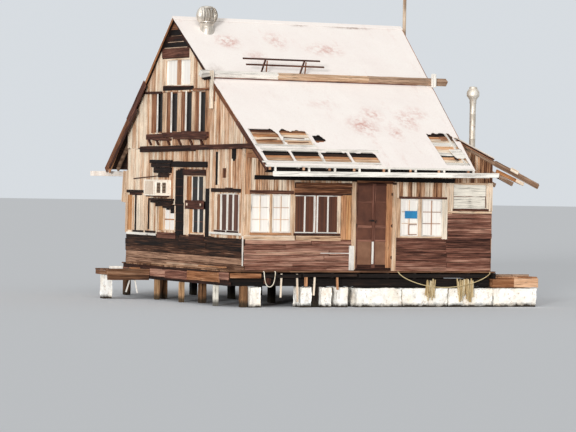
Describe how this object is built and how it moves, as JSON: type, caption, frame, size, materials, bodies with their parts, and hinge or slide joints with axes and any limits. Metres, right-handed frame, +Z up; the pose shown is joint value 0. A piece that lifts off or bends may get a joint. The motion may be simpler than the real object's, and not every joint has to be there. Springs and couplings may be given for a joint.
{
  "type": "boathouse",
  "caption": "Weathered two-level timber boathouse on piles and foam floats, with a steep white roof, lean-to room, screened double door, deck and roof ventilator.",
  "frame": {"origin": "middle of the underside of the front left pile, at the waterline", "axes": "+X along the front to the right, +Y from the front to the back, +Z up"},
  "size_m": [9.7219, 9.0327, 7.85],
  "materials": {
    "bleached_boards": "rough",
    "dark_boards": "rough",
    "dock_boards": "rough",
    "enamel": "satin",
    "foam": "matt",
    "galvanised": "satin",
    "rope": "matt",
    "screen_door": "rough",
    "weathered_timber": "rough",
    "white_paint": "matt",
    "white_roof": "matt"
  },
  "bodies": {
    "boathouse": {"piles": "weathered_timber", "floor_beams": "weathered_timber", "floor_joists": "weathered_timber", "house_floor": "weathered_timber", "front_deck": "weathered_timber", "side_walkway": "weathered_timber", "walkway_beam": "weathered_timber", "landing": "weathered_timber", "side_dock": "dock_boards", "float_bearers": "weathered_timber", "foam_floats": "foam", "left_gable_wall": "bleached_boards", "front_wall_left": "bleached_boards", "front_wall_right": "bleached_boards", "front_wall_over_door": "bleached_boards", "rear_wall": "bleached_boards", "right_gable_wall": "bleached_boards", "addition_front_wall": "bleached_boards", "addition_side_wall": "bleached_boards", "addition_rear_wall": "bleached_boards", "front_lower_boards": "dark_boards", "gable_lower_boards": "dark_boards", "addition_lower_boards": "dark_boards", "corner_boards": "white_paint", "belly_beam": "weathered_timber", "gable_ledges": "weathered_timber", "loft_joists": "weathered_timber", "loft_floor": "weathered_timber", "front_rafters": "weathered_timber", "rear_rafters": "weathered_timber", "ridge_board": "weathered_timber", "upper_roof": "white_roof", "lower_roof": "white_roof", "rear_roof": "weathered_timber", "ridge_cap": "white_roof", "break_beam": "weathered_timber", "barge_boards": "weathered_timber", "front_fascia": "white_paint", "rear_gutter": "white_paint", "addition_roof": "weathered_timber", "addition_rafters": "weathered_timber", "roof_rack": "weathered_timber", "mast_pole": "weathered_timber", "stove_pipe": "galvanised", "turbine_base": "galvanised", "front_windows": "white_paint", "addition_shutter": "white_paint", "gable_windows": "weathered_timber", "loft_slat_window": "weathered_timber", "loft_top_window": "white_paint", "rear_windows": "white_paint", "air_conditioner": "enamel", "door_frame": "white_paint", "mooring_rope_left": "rope", "mooring_rope_right": "rope"},
    "left_door_leaf": {"front_door_left": "screen_door"},
    "right_door_leaf": {"front_door_right": "screen_door"},
    "turbine_head": {"turbine_rotor": "galvanised"}
  },
  "joints": [
    {"name": "left_door_hinge", "type": "hinge", "parent": "boathouse", "child": "left_door_leaf", "pos_m": [2.949, -0.046, 1.95], "axis": [0, 0, -1], "range_deg": [0, 105]},
    {"name": "right_door_hinge", "type": "hinge", "parent": "boathouse", "child": "right_door_leaf", "pos_m": [3.923, -0.046, 1.95], "axis": [0, 0, 1], "range_deg": [0, 105]},
    {"name": "turbine_spin", "type": "hinge", "parent": "boathouse", "child": "turbine_head", "pos_m": [0.61, 3.52845, 6.88554], "axis": [0, 0, 1], "continuous": true}
  ]
}
